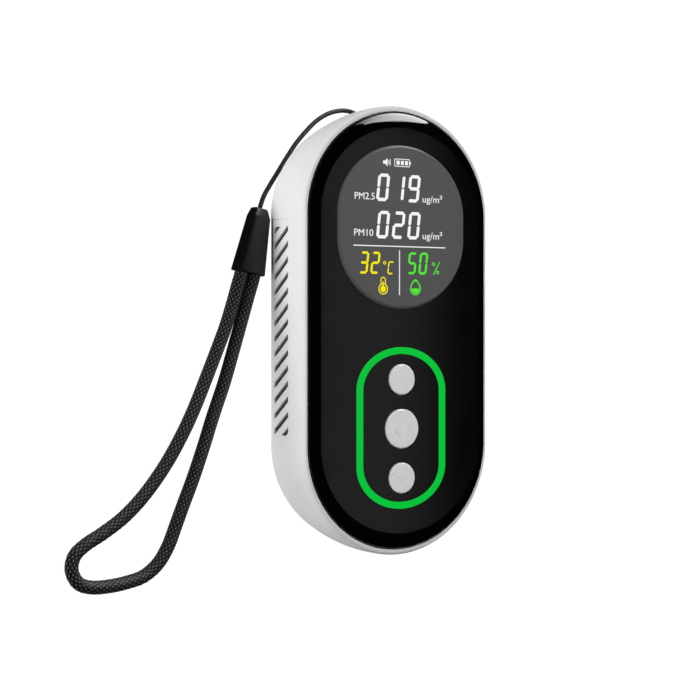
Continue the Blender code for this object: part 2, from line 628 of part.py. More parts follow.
def main():
    clear_scene()
    shell_white = material("shell_white", (0.72, 0.72, 0.73), 0.45)
    panel_black = material("panel_black", (0.01, 0.01, 0.011), 0.08)
    window_grey = material("window_grey", (0.09, 0.09, 0.09), 0.2)
    ring_green = material("ring_green", (0.0, 0.55, 0.05), 0.3)
    button_grey = material("button_grey", (0.66, 0.66, 0.67), 0.4)
    switch_black = material("switch_black", (0.03, 0.03, 0.03), 0.5)
    steel = material("steel", (0.6, 0.6, 0.62), 0.3, 1.0)
    brass = material("brass", (0.6, 0.45, 0.2), 0.3, 1.0)
    board_green = material("board_green", (0.02, 0.16, 0.06), 0.4)
    white_plastic = material("white_plastic", (0.8, 0.8, 0.78), 0.5)
    cell_grey = material("cell_grey", (0.35, 0.36, 0.38), 0.35)
    amber_film = material("amber_film", (0.5, 0.22, 0.03), 0.3)
    wire_red = material("wire_red", (0.5, 0.02, 0.02), 0.5)
    mesh_grey = material("mesh_grey", (0.06, 0.06, 0.06), 0.8)
    braid_black = material("braid_black", (0.012, 0.012, 0.014), 0.75)

    make_housing(shell_white)
    make_rear_cover(shell_white, steel)
    make_front_panel(panel_black)
    make_window(window_grey)
    make_light_ring(ring_green)
    make_buttons(button_grey, switch_black, white_plastic)
    make_button_frame(switch_black)
    make_board(board_green, switch_black, white_plastic, steel)
    make_display_stack(window_grey, white_plastic, amber_film)
    make_power(cell_grey, wire_red)
    make_sensor(steel, switch_black, brass, white_plastic, board_green)
    make_trim(mesh_grey, switch_black)
    make_lanyard(braid_black, switch_black, steel)


main()
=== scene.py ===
"""Looks for a pocket air quality monitor lying on its back, with its wrist lanyard beside it."""

import math

import bmesh
import bpy
from mathutils import Matrix, Vector


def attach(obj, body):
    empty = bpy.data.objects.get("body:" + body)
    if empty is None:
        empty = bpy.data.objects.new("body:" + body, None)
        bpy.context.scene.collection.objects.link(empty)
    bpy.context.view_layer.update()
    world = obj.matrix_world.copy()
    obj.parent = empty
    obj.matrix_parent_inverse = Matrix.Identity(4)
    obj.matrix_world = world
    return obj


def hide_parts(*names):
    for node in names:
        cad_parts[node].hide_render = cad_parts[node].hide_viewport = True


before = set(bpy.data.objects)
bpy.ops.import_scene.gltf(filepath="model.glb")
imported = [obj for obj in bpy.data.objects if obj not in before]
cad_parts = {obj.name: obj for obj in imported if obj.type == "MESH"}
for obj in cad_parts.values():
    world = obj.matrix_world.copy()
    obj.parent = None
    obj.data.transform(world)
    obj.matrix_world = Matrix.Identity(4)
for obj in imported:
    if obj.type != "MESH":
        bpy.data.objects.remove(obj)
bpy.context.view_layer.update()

MM = 0.001

# --- Camera ---
# A long lens well to the left of the monitor, looking down on its face, so that the left side wall
# and its vents show beside the glass.
CAMERA_PLACE = Vector((-269.74, -1.72, 430.30)) * MM
CAMERA_RIGHT = Vector((0.8490, 0.0, 0.5284))
CAMERA_BACK = Vector((-0.5284, 0.0070, 0.8490)).normalized()
CAMERA_LENS = 94.79

camera_data = bpy.data.cameras.new("studio_camera")
camera_data.lens = CAMERA_LENS
camera_data.clip_start = 0.01
camera = bpy.data.objects.new("studio_camera", camera_data)
bpy.context.scene.collection.objects.link(camera)
camera_up = CAMERA_BACK.cross(CAMERA_RIGHT).normalized()
camera_axes = Matrix((camera_up.cross(CAMERA_BACK), camera_up, CAMERA_BACK)).transposed()
camera.matrix_world = Matrix.Translation(CAMERA_PLACE) @ camera_axes.to_4x4()
bpy.context.scene.camera = camera
bpy.context.scene.view_settings.view_transform = "Standard"


# --- Studio sweep and world ---
# White paper on the table that rises into a wall all round. It glows a little, so that it prints
# as paper white with only a breath of shadow under the cord. Nothing on the object mirrors it.
def linear(hex_colour, alpha=1.0):
    """An sRGB hex colour as the linear RGBA that shader sockets take."""
    channels = [int(hex_colour[i : i + 2], 16) / 255 for i in (1, 3, 5)]
    toned = [c / 12.92 if c <= 0.04045 else ((c + 0.055) / 1.055) ** 2.4 for c in channels]
    return (*toned, alpha)


def add_node(tree, kind, inputs, feeds=None, stops=(), **settings):
    """Adds a node. Each input is a value, or the node or socket it comes from.

    Its first output goes to the socket it feeds, and stops are a colour ramp's places and colours.
    """
    node = tree.nodes.new(kind)
    for name, value in settings.items():
        setattr(node, name, value)
    for number, (place, colour) in enumerate(stops):
        node.color_ramp.elements[number].position = place
        node.color_ramp.elements[number].color = linear(colour)
    for name, value in inputs.items():
        if isinstance(value, bpy.types.Node):
            value = value.outputs[0]
        if isinstance(value, bpy.types.NodeSocket):
            tree.links.new(value, node.inputs[name])
        else:
            node.inputs[name].default_value = value
    if feeds:
        tree.links.new(node.outputs[0], feeds)
    return node


def new_finish(name, **shading):
    """A material whose Principled shader has those values: returns it, its tree and its shader."""
    made = bpy.data.materials.new(name)
    made.use_nodes = True
    shader = made.node_tree.nodes["Principled BSDF"]
    for socket, value in shading.items():
        shader.inputs[socket.replace("_", " ")].default_value = value
    return made, made.node_tree, shader


def object_place(tree):
    """Where a point lies on its object, for patterns."""
    return add_node(tree, "ShaderNodeTexCoord", {}).outputs["Object"]


def set_piece(name, shape, finish, smooth_angle=35.0):
    """Makes an object of a bmesh: its faces point out, and edges past the angle are sharp."""
    bmesh.ops.recalc_face_normals(shape, faces=shape.faces)
    mesh = bpy.data.meshes.new(name)
    shape.to_mesh(mesh)
    shape.free()
    mesh.materials.append(finish)
    mesh.shade_smooth()
    mesh.set_sharp_from_angle(angle=math.radians(smooth_angle))
    made = bpy.data.objects.new(name, mesh)
    bpy.context.scene.collection.objects.link(made)
    return made


def verts_of(geometry):
    """The vertices among what an extrusion made."""
    return [item for item in geometry if isinstance(item, bmesh.types.BMVert)]


def place_mm(x, y, z=0.0):
    """A move to a place in mm."""
    return Matrix.Translation(Vector((x, y, z)) * MM)


def hide_from_object(item, camera_sees=True, shines=False):
    """Takes a studio object out of the rays that light or mirror in the object."""
    item.visible_camera = camera_sees
    item.visible_diffuse = False
    item.visible_glossy = shines
    item.visible_transmission = False
    item.visible_shadow = False


SWEEP_RADIUS = 3.0
SWEEP_HEIGHT = 3.0
SWEEP_DROP = 0.05 * MM
WHITE = (1.0, 1.0, 1.0, 1.0)

paper, paper_tree, paper_shader = new_finish(
    "white_paper", Roughness=1.0, Specular_IOR_Level=0.0, Emission_Color=WHITE,
    Emission_Strength=0.98,
)
paper_grain = add_node(paper_tree, "ShaderNodeTexNoise", {"Scale": 900.0, "Detail": 3.0})
add_node(
    paper_tree, "ShaderNodeValToRGB", {"Fac": paper_grain}, paper_shader.inputs["Base Color"],
    stops=((0.0, "#787878"), (1.0, "#7e7e7e")),
)

sweep_shape = bmesh.new()
bmesh.ops.create_circle(sweep_shape, cap_ends=True, segments=96, radius=SWEEP_RADIUS)
wall = bmesh.ops.extrude_edge_only(sweep_shape, edges=sweep_shape.edges[:])["geom"]
bmesh.ops.translate(sweep_shape, verts=verts_of(wall), vec=(0.0, 0.0, SWEEP_HEIGHT))
bmesh.ops.translate(sweep_shape, verts=sweep_shape.verts, vec=(0.0, 0.0, -SWEEP_DROP))
sweep = set_piece("studio_sweep", sweep_shape, paper, 80.0)
hide_from_object(sweep)

world = bpy.data.worlds.new("studio_air")
world.use_nodes = True
air = world.node_tree.nodes["Background"]
air.inputs["Color"].default_value = WHITE
air.inputs["Strength"].default_value = 0.08
world.cycles_visibility.glossy = False
bpy.context.scene.world = world


# --- Lights ---
# A softbox overhead lights the faces. Low wide ones at the left light the vented wall and the end,
# so that the white plastic turns grey as it rounds to the rim. The glass mirrors none of them.
TARGET = Vector((0.0, 10.0, 15.0)) * MM


def add_softbox(name, place, size, radiance):
    """A rectangular lamp aimed at the monitor. Radiance is in W/m2/sr, as the surfaces see it."""
    lamp = bpy.data.lights.new(name, "AREA")
    lamp.shape = "RECTANGLE"
    lamp.size, lamp.size_y = size
    lamp.energy = radiance * math.pi * size[0] * size[1]
    box = bpy.data.objects.new(name, lamp)
    box.location = place
    box.rotation_mode = "QUATERNION"
    box.rotation_quaternion = (Vector(place) - TARGET).to_track_quat("Z", "Y")
    box.visible_camera = False
    box.visible_glossy = False
    bpy.context.scene.collection.objects.link(box)


add_softbox("top_softbox", (0.22, 0.32, 0.95), (0.6, 0.5), 6.4)
add_softbox("left_fill", (-1.12, -0.27, -0.2), (1.3, 1.3), 2.75)
add_softbox("end_fill", (-0.65, 0.9, -0.25), (0.7, 0.7), 3.6)


# Two cards that only the gloss mirrors. A grey one lays a soft tone over the left of the flat
# glass, and a bright one at the lanyard end draws the lens of light on its rolled edge.
def add_card(name, corners, *fades):
    """A glowing card. Its radiance is a product of fades: axis, start, end, first, last."""
    finish, tree, _ = new_finish(name)
    axes = add_node(tree, "ShaderNodeSeparateXYZ", {0: object_place(tree)})
    strength = 1.0
    for axis, start, end, first, last in fades:
        fade = add_node(
            tree, "ShaderNodeMapRange",
            {0: axes.outputs[axis], 1: start, 2: end, 3: first, 4: last},
            interpolation_type="SMOOTHSTEP",
        )
        strength = add_node(
            tree, "ShaderNodeMath", {0: strength, 1: fade}, operation="MULTIPLY"
        )
    surface = tree.nodes["Material Output"].inputs["Surface"]
    add_node(tree, "ShaderNodeEmission", {"Strength": strength}, surface)
    shape = bmesh.new()
    bmesh.ops.contextual_create(shape, geom=[shape.verts.new(corner) for corner in corners])
    card = set_piece(name, shape, finish)
    hide_from_object(card, camera_sees=False, shines=True)


add_card(
    "grey_card",
    [(0.55, -0.2, 1.0), (0.98, -0.2, 1.0), (0.98, 0.2, 1.0), (0.55, 0.2, 1.0)],
    ("X", 0.63, 0.725, 0.36, 0.03), ("X", 0.556, 0.564, 0.0, 1.0), ("Y", -0.19, -0.178, 0.0, 1.0),
    ("Y", 0.18, 0.195, 1.0, 0.0),
)
add_card(
    "bright_card",
    [
        (0.557, 0.432, 0.822), (0.664, 0.565, 0.595), (0.902, 0.865, 0.086),
        (0.772, 1.199, -0.134), (0.029, 1.284, 0.437), (0.309, 0.681, 0.792),
    ],
    ("Y", 0.43, 0.53, 3.0, 12.5), ("X", 0.1, 0.6, 0.25, 1.0),
)


# --- Lanyard string ---
# Thin black polyester string, plaited, knotted round a steel pin inside the case. It comes out of
# a hole in the end wall, drops to the table and runs into the ferrule.
STRING_ROUTE = (
    (0.0, 55.1, 4.5), (-0.1, 56.6, 4.4), (-0.6, 58.1, 3.5), (-1.7, 59.5, 2.0), (-3.4, 60.2, 1.0),
    (-6.0, 60.1, 0.75), (-9.4, 59.1, 0.75), (-13.0, 57.0, 0.75), (-16.4, 53.9, 0.75),
    (-19.6, 50.4, 0.75), (-22.5, 46.4, 0.75), (-25.2, 42.4, 0.75), (-27.7, 38.8, 0.85),
    (-29.8, 35.8, 1.35), (-31.25, 32.85, 1.9),
)
STRING_DIAMETER = 1.3 * MM
CURVE_STEPS = 12  # pieces of a route between two of its points, before it is spaced evenly


def follow(route, spacing):
    """Points at an even spacing along a smooth curve through a route given in mm."""
    points = [Vector(point) * MM for point in route]
    points = [2 * points[0] - points[1], *points, 2 * points[-1] - points[-2]]
    fine = []
    for before, start, end, after in zip(points, points[1:], points[2:], points[3:]):
        for step in range(CURVE_STEPS):
            t = step / CURVE_STEPS
            fine.append(
                0.5 * (
                    2 * start + (end - before) * t
                    + (2 * before - 5 * start + 4 * end - after) * t**2
                    + (3 * start - before - 3 * end + after) * t**3
                )
            )
    fine.append(points[-2])
    reached = [0.0]
    for a, b in zip(fine, fine[1:]):
        reached.append(reached[-1] + (b - a).length)
    count = round(reached[-1] / spacing)
    even, place = [], 0
    for step in range(count + 1):
        goal = reached[-1] * step / count
        while place < len(fine) - 2 and reached[place + 1] < goal:
            place += 1
        part = (goal - reached[place]) / (reached[place + 1] - reached[place])
        even.append(fine[place].lerp(fine[place + 1], part))
    return even, reached[-1]


def plait(along, around, strands, pitch):
    """Height, from 0 to 1, of round strands that cross over and under each other."""
    first = strands * around + along / pitch
    second = strands * around - along / pitch
    over = math.cos(math.pi * first) * math.cos(math.pi * second) > 0
    crown = (first if over else second) % 1.0 - 0.5
    other = (second if over else first) % 1.0 - 0.5
    return math.sqrt(max(0.0, 1.0 - 3.4 * crown * crown)) * (1.0 - 1.3 * other * other)


def make_cord(name, route, diameter, strands, pitch, relief, finish, along_step, around_steps):
    """A plaited cord: a grid wrapped round a route, strands raised, with UVs in mm and turns."""
    path, length = follow(route, along_step)
    rows = len(path) - 1
    shape = bmesh.new()
    bmesh.ops.create_grid(
        shape, x_segments=rows, y_segments=around_steps, size=0.5, calc_uvs=True
    )
    uv = shape.loops.layers.uv.verify()
    for face in shape.faces:
        for loop in face.loops:
            x, y, _ = loop.vert.co
            loop[uv].uv = ((x + 0.5) * length / MM, y + 0.5)
    for vert in shape.verts:
        row = round((vert.co.x + 0.5) * rows)
        around = vert.co.y + 0.5
        ahead = (path[min(row + 1, rows)] - path[max(row - 1, 0)]).normalized()
        side = ahead.cross(Vector((0.0, 0.0, 1.0))).normalized()
        above = side.cross(ahead)
        height = plait(length * row / rows, around, strands, pitch)
        radius = diameter / 2 - relief * (1.0 - height)
        angle = math.tau * around
        vert.co = path[row] + radius * (math.cos(angle) * side + math.sin(angle) * above)
    bmesh.ops.remove_doubles(shape, verts=shape.verts, dist=0.001 * MM)
    bmesh.ops.holes_fill(shape, edges=[e for e in shape.edges if e.is_boundary], sides=0)
    return set_piece(name, shape, finish, 60.0), path, length


def braid_finish(name, strands, pitch_mm, pale, dark):
    """Black polyester filament yarn: a painted highlight at each strand crossing, dull dark gaps.
    """
    made, tree, shader = new_finish(
        name, Roughness=0.6, Sheen_Weight=0.08, Sheen_Roughness=0.4
    )
    surface = add_node(tree, "ShaderNodeUVMap", {})
    turned = add_node(
        tree, "ShaderNodeMapping", {"Vector": surface, "Scale": (1 / pitch_mm, strands, 1.0)}
    )
    painted_crossing_highlights = add_node(tree, "ShaderNodeTexNoise", {"Vector": turned, "Scale": 6.0, "Detail": 4.0})
    # Painted highlight: a pale speck at each crossing, where light catches the strand that is over.
    # The diagonal wave turns by ten radians for each unit, so this scale gives a wave to each
    # strand.
    for lean in (1, -1):
        leaned = add_node(
            tree, "ShaderNodeMapping", {"Vector": turned, "Scale": (lean, 1.0, 1.0)}
        )
        crown = add_node(
            tree, "ShaderNodeTexWave", {"Vector": leaned, "Scale": math.tau / 10},
            bands_direction="DIAGONAL",
        )
        painted_crossing_highlights = add_node(tree, "ShaderNodeMath", {0: painted_crossing_highlights, 1: crown}, operation="MULTIPLY")
    add_node(
        tree, "ShaderNodeValToRGB", {"Fac": painted_crossing_highlights}, shader.inputs["Base Color"],
        stops=((0.12, dark), (0.48, pale)),
    )
    # Filaments about 0.05 mm thick are too fine to show, so these ridges are three times that.
    filament = add_node(
        tree, "ShaderNodeTexNoise", {"Vector": turned, "Scale": 14.0, "Detail": 2.0}
    )
    add_node(
        tree, "ShaderNodeBump", {"Height": filament, "Distance": 0.05 * MM, "Strength": 0.7},
        shader.inputs["Normal"],
    )
    return made


# The paler colour is the painted highlight at the strand crossings.
string_finish = braid_finish("plaited_polyester_string", 6, 1.3, "#2c2c2e", "#101011")
string, string_path, string_length = make_cord(
    "string_plait", STRING_ROUTE, STRING_DIAMETER, 4, 1.3 * MM, 0.07 * MM, string_finish,
    0.16 * MM, 20,
)
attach(string, "case")
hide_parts("lanyard_string")


# --- Ferrule ---
# Black moulded acetal with a soft gloss, where the string meets the two ends of the wrist loop. Its
# long edges are rounded, and it tapers to a blunt shoulder at the string.
FERRULE_BASE = Vector((-35.4, 15.2, 0.0)) * MM
FERRULE_TURN = math.radians(-13)
FERRULE_BODY = Vector((8.4, 15.2, 5.4)) * MM  # width, length, thickness at the base
FERRULE_WAIST = (5.5 / 8.4, 4.8 / 5.4)  # what the body's far end keeps of that
FERRULE_SHOULDER = (3.9 / 5.5, 3.8 / 4.8)
SHOULDER_LENGTH = 2.4 * MM

ferrule_finish, ferrule_tree, ferrule_shader = new_finish("glossy_black_acetal", IOR=1.48)
# Faint flow marks, a few millimetres long, from the mould.
ferrule_flow = add_node(
    ferrule_tree, "ShaderNodeTexNoise",
    {"Vector": object_place(ferrule_tree), "Scale": 420.0, "Detail": 3.0},
)
add_node(
    ferrule_tree, "ShaderNodeValToRGB", {"Fac": ferrule_flow},
    ferrule_shader.inputs["Base Color"], stops=((0.0, "#070708"), (1.0, "#0f0f10")),
)
add_node(
    ferrule_tree, "ShaderNodeMapRange", {0: ferrule_flow, 3: 0.34, 4: 0.46},
    ferrule_shader.inputs["Roughness"],
)


def round_off(shape, geom, offset, segments, affect="EDGES"):
    """Rounds edges or corners off, by an offset in mm."""
    bmesh.ops.bevel(
        shape, geom=geom, offset=offset * MM, segments=segments, profile=0.5, affect=affect,
        material=-1,
    )


ferrule_shape = bmesh.new()
bmesh.ops.create_cube(ferrule_shape, size=1.0)
bmesh.ops.translate(ferrule_shape, verts=ferrule_shape.verts, vec=(0.0, 0.5, 0.5))
bmesh.ops.scale(ferrule_shape, verts=ferrule_shape.verts, vec=FERRULE_BODY)
far_face = max(ferrule_shape.faces, key=lambda face: face.calc_center_median().y)
bmesh.ops.scale(ferrule_shape, verts=far_face.verts, vec=(FERRULE_WAIST[0], 1.0, FERRULE_WAIST[1]))
shoulder = bmesh.ops.extrude_discrete_faces(ferrule_shape, faces=[far_face])["faces"][0]
bmesh.ops.scale(
    ferrule_shape, verts=shoulder.verts, vec=(FERRULE_SHOULDER[0], 1.0, FERRULE_SHOULDER[1])
)
bmesh.ops.translate(ferrule_shape, verts=shoulder.verts, vec=(0.0, SHOULDER_LENGTH, 0.0))
long_edges = [e for e in ferrule_shape.edges if abs((e.verts[0].co - e.verts[1].co).y) > MM]
round_off(ferrule_shape, long_edges, 1.1, 5)
end_edges = [
    e for e in ferrule_shape.edges
    if abs((e.verts[0].co - e.verts[1].co).y) < 0.01 * MM and e.calc_face_angle(0.0) > 0.2
]
round_off(ferrule_shape, end_edges, 0.25, 3)
bmesh.ops.rotate(
    ferrule_shape, verts=ferrule_shape.verts, matrix=Matrix.Rotation(FERRULE_TURN, 3, "Z")
)
bmesh.ops.translate(ferrule_shape, verts=ferrule_shape.verts, vec=FERRULE_BASE)
ferrule = set_piece("ferrule", ferrule_shape, ferrule_finish, 40.0)
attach(ferrule, "case")
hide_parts("lanyard_ferrule")


# --- Wrist loop ---
# Braided black polyester cord, round and fairly stiff. Both ends are moulded into the ferrule, and
# the loop lies on the table.
LOOP_ROUTE = (
    (-36.87, 17.29, 2.65), (-37.4, 15.0, 2.6), (-38.3, 11.6, 2.2), (-39.5, 7.2, 1.9),
    (-41.6, 1.0, 1.85), (-44.4, -5.7, 1.85), (-47.4, -12.6, 1.85), (-50.5, -19.6, 1.85),
    (-54.1, -26.6, 1.85), (-59.0, -34.5, 1.85), (-64.8, -41.8, 1.85), (-70.7, -47.4, 1.85),
    (-76.6, -51.3, 1.85), (-81.3, -53.9, 1.85), (-84.4, -56.6, 1.85), (-85.2, -60.2, 1.85),
    (-83.4, -63.5, 1.85), (-80.0, -64.8, 1.85), (-75.4, -64.9, 1.85), (-70.4, -64.3, 1.85),
    (-65.4, -63.0, 1.85), (-61.3, -60.0, 1.85), (-58.4, -55.7, 1.85), (-56.2, -50.5, 1.85),
    (-53.9, -44.9, 1.85), (-51.1, -38.3, 1.85), (-48.2, -30.6, 1.85), (-45.3, -22.3, 1.85),
    (-42.0, -13.6, 1.85), (-39.3, -5.2, 1.85), (-36.7, 3.2, 1.9), (-34.9, 9.4, 2.15),
    (-33.75, 13.6, 2.55), (-33.17, 16.43, 2.65),
)
LOOP_DIAMETER = 3.6 * MM

# The paler colour is the painted highlight at the strand crossings.
loop_finish = braid_finish("braided_polyester_cord", 10, 1.6, "#6c6c70", "#08080a")
loop, loop_path, loop_length = make_cord(
    "wrist_loop", LOOP_ROUTE, LOOP_DIAMETER, 10, 1.6 * MM, 0.2 * MM, loop_finish, 0.18 * MM, 60
)
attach(loop, "case")
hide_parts("lanyard_loop")


# --- Housing ---
# One injection moulded shell of off-white ABS with round ends. Its back rounds in, its front rim
# stands round the glass, and a sunk field of slanted vent slots runs down each side wall.
BODY_HALF_WIDTH = 29.0
BODY_STRAIGHT = 30.7
RIM_TOP = 21.15
RIM_INSET = (0.6, 1.0)  # how far the rim rounds in, at the sides and at the ends
RIM_RISE = 1.5
SIDE_ROUND = (7.8, 4.7)  # inset and height of the curve into the back, along the sides
END_ROUND = (6.6, 16.5)  # and at the ends
WALL = 2.2
REAR_OPENING = (19.0, 31.0, 19.0)  # half width, half straight, end depth
FLANGE = 2.5
LIP = (28.05, 30.15, 28.05)
LEDGE = (25.5, 30.15, 25.5)
LEDGE_HEIGHTS = (19.2, 17.2)

VENT_PITCH = 4.07
VENT_COUNT = 15
VENT_FIRST = 31.0
VENT_LEAN = 4.9
VENT_WIDTH = 1.65
VENT_CORNER = 0.55
VENT_FIELD_Y = (-27.6, 27.4)
VENT_FIELD_Z = (5.3, 12.55)
VENT_RECESS = 0.2
VENT_WALL = 0.6
RECESS_Z = (3.0, 12.85)
POCKET_Z = (4.6, 13.4)
VENT_MARGIN = 2.1


def add_oblong(shape, half_width, straight, end_depth, height, middle=0.0, steps=128):
    """One level outline in mm: a circle stretched to the ends and pulled apart by the sides."""
    turned = Matrix.Rotation(math.pi / steps, 4, "Z")
    ring = bmesh.ops.create_circle(shape, segments=steps, radius=MM, matrix=turned)["verts"]
    bmesh.ops.scale(shape, verts=ring, vec=(half_width, end_depth, 1.0))
    for end in (1, -1):
        half = [vert for vert in ring if vert.co.y * end > 0]
        bmesh.ops.translate(shape, verts=half, vec=(0.0, end * straight * MM, 0.0))
    bmesh.ops.translate(shape, verts=ring, vec=(0.0, middle * MM, height * MM))
    return list({edge for vert in ring for edge in vert.link_edges})


def add_skin(shape, outlines, round_again=False, **shared):
    """Bridges oblong outlines in turn. It caps the two ends, or joins the last one to the first.

    The outlines are stacked a millimetre apart while they are bridged, because a bridge between two
    in one plane can cross over, and then each goes to its own height.
    """
    rings = []
    for level, (*sizes, _) in enumerate(outlines):
        rings.append(add_oblong(shape, *sizes, level, **shared))
    pairs = list(zip(rings, rings[1:]))
    if round_again:
        pairs.append((rings[-1], rings[0]))
    else:
        for ring in (rings[0], rings[-1]):
            bmesh.ops.contextual_create(shape, geom=ring)
    for low, high in pairs:
        bmesh.ops.bridge_loops(shape, edges=low + high)
    for ring, (*_, height) in zip(rings, outlines):
        for vert in {vert for edge in ring for vert in edge.verts}:
            vert.co.z = height * MM


def add_block(shape, low, high):
    """A box between two corners in mm."""
    corners = bmesh.ops.create_cube(shape, size=1.0)["verts"]
    size = Vector(high) - Vector(low)
    bmesh.ops.scale(shape, verts=corners, vec=size * MM)
    bmesh.ops.translate(shape, verts=corners, vec=(Vector(low) + size / 2) * MM)
    return corners


def add_rod(shape, middle, radius, length, across="", steps=32):
    """A round bar in mm: upright, or turned a quarter about the axis named across."""
    turn = Matrix.Rotation(math.pi / 2 if across else 0.0, 4, across or "X")
    bmesh.ops.create_cone(
        shape, cap_ends=True, segments=steps, radius1=radius * MM, radius2=radius * MM,
        depth=length * MM, matrix=place_mm(*middle) @ turn,
    )


def settle(piece):
    """Makes a piece's modifiers part of its mesh."""
    evaluated = piece.evaluated_get(bpy.context.evaluated_depsgraph_get())
    settled = bpy.data.meshes.new_from_object(evaluated)
    piece.modifiers.clear()
    old, piece.data = piece.data, settled
    bpy.data.meshes.remove(old)


def carve(piece, cutter_shape, operation="DIFFERENCE"):
    """Cuts a bmesh out of a piece, or joins it on."""
    bmesh.ops.recalc_face_normals(cutter_shape, faces=cutter_shape.faces)
    mesh = bpy.data.meshes.new("cutter")
    cutter_shape.to_mesh(mesh)
    cutter_shape.free()
    cutter = bpy.data.objects.new("cutter", mesh)
    bpy.context.scene.collection.objects.link(cutter)
    change = piece.modifiers.new("carve", "BOOLEAN")
    change.operation = operation
    change.object = cutter
    change.solver = "EXACT"
    settle(piece)
    bpy.data.objects.remove(cutter)
    bpy.data.meshes.remove(mesh)


def flatten_shading(piece, smooth_angle=35.0):
    """Keeps flat faces looking flat next to the curves that they meet."""
    piece.data.shade_smooth()
    piece.data.set_sharp_from_angle(angle=math.radians(smooth_angle))
    weigh = piece.modifiers.new("weigh", "WEIGHTED_NORMAL")
    weigh.keep_sharp = True
    weigh.weight = 80
    settle(piece)


def body_outline(height, inward=(0.0, 0.0)):
    """The outside of the shell at a height, drawn in further by inward: sides, then ends."""
    insets = []
    for (inset, rise), more in zip((SIDE_ROUND, END_ROUND), inward):
        drop = max(0.0, (rise - height) / rise)
        insets.append(inset * (1.0 - math.sqrt(1.0 - drop * drop)) + more)
    return (BODY_HALF_WIDTH - insets[0], BODY_STRAIGHT, BODY_HALF_WIDTH - insets[1], height)


def moulded_finish(name, pale, dark, grain_mm, depth_mm, roughness, patch_mm=9.0, **shading):
    """Moulded plastic: a spark-eroded grain, and a tone that drifts a little over the piece."""
    made, tree, shader = new_finish(name, **shading)
    place = object_place(tree)
    patches = add_node(
        tree, "ShaderNodeTexNoise", {"Vector": place, "Scale": 1000.0 / patch_mm, "Detail": 3.0}
    )
    add_node(
        tree, "ShaderNodeValToRGB", {"Fac": patches}, shader.inputs["Base Color"],
        stops=((0.3, dark), (0.7, pale)),
    )
    grain = add_node(
        tree, "ShaderNodeTexNoise", {"Vector": place, "Scale": 1000.0 / grain_mm, "Detail": 2.0}
    )
    add_node(
        tree, "ShaderNodeMapRange", {0: grain, 1: 0.3, 2: 0.7, 3: roughness[0], 4: roughness[1]},
        shader.inputs["Roughness"],
    )
    add_node(
        tree, "ShaderNodeBump", {"Height": grain, "Distance": depth_mm * MM},
        shader.inputs["Normal"],
    )
    return made


# Spark erosion leaves pits about 0.1 mm across; these are 0.25 mm so that they show as a tooth.
shell_finish = moulded_finish(
    "satin_off_white_abs", "#e9e9ea", "#e4e4e5", 0.25, 0.012, (0.5, 0.6),
    Specular_IOR_Level=0.12,
)

rise_steps = [SIDE_ROUND[1] * (1.0 - math.cos(math.radians(9 * k))) for k in range(11)]
rise_steps = sorted(SIDE_ROUND[1] - h for h in rise_steps)
end_steps = [END_ROUND[1] * (1.0 - math.sin(math.radians(9 * k))) for k in (4, 3, 2, 1, 0)]
outside = [body_outline(height) for height in rise_steps + end_steps]
for k in range(10):
    turn = math.radians(10 * k)
    drawn_in = [inset * (1 - math.cos(turn)) for inset in RIM_INSET]
    outside.append(body_outline(RIM_TOP - RIM_RISE * (1 - math.sin(turn)), drawn_in))
inside = [(*LIP, RIM_TOP), (*LIP, LEDGE_HEIGHTS[0]), (*LEDGE, LEDGE_HEIGHTS[0])]
inside.append((*LEDGE, LEDGE_HEIGHTS[1]))
for height in (LEDGE_HEIGHTS[1], 12.0, 8.0, SIDE_ROUND[1], FLANGE):
    inside.append(body_outline(height, (WALL, WALL)))
housing_shape = bmesh.new()
add_skin(
    housing_shape,
    [(*REAR_OPENING, 0.0), *outside, *inside, (*REAR_OPENING, FLANGE)],
    round_again=True,
)
housing = set_piece("housing_shell", housing_shape, shell_finish)

# Four lugs reach over the rear cover for its screws, and two posts hold the lanyard's pin.
LUG_RING = 17.2
LUG_REACH = 4.75
LUG_ANGLE = math.radians(50)
SCREW_RING = 15.5
SCREW_BORE = 1.3
PIN_PLACE = (0.0, 53.8, 4.5)
PIN_BORE = 1.1
STRING_HOLE = ((0.0, 58.6, 4.5), 1.5)
CONNECTOR_MOUTH = ((-4.9, -62.0, 12.9), (4.9, -55.0, 16.9))

bosses = bmesh.new()
opening = bmesh.new()
bores = bmesh.new()
add_skin(opening, [(*REAR_OPENING, -1.0), (*REAR_OPENING, FLANGE - 0.05)])
for end in (-1, 1):
    for side in (-1, 1):
        across, along = side * math.cos(LUG_ANGLE), end * math.sin(LUG_ANGLE)
        lug = add_block(
            bosses, (LUG_RING - LUG_REACH, -3.0, 1.5), (LUG_RING + LUG_REACH, 3.0, 6.5)
        )
        turn = Matrix.Rotation(math.atan2(along, across), 3, "Z")
        bmesh.ops.rotate(bosses, verts=lug, matrix=turn)
        bmesh.ops.translate(bosses, verts=lug, vec=(0.0, end * REAR_OPENING[1] * MM, 0.0))
        screw = (SCREW_RING * across, end * REAR_OPENING[1] + SCREW_RING * along, 4.5)
        add_rod(bores, screw, SCREW_BORE, 7.0)
for middle in (-3.25, 3.25):
    add_block(bosses, (middle - 1.25, 52.3, 2.0), (middle + 1.25, 55.6, 6.8))
add_rod(bores, PIN_PLACE, PIN_BORE, 8.0, across="Y")
carve(housing, bosses, "UNION")
carve(housing, opening)
carve(housing, bores)

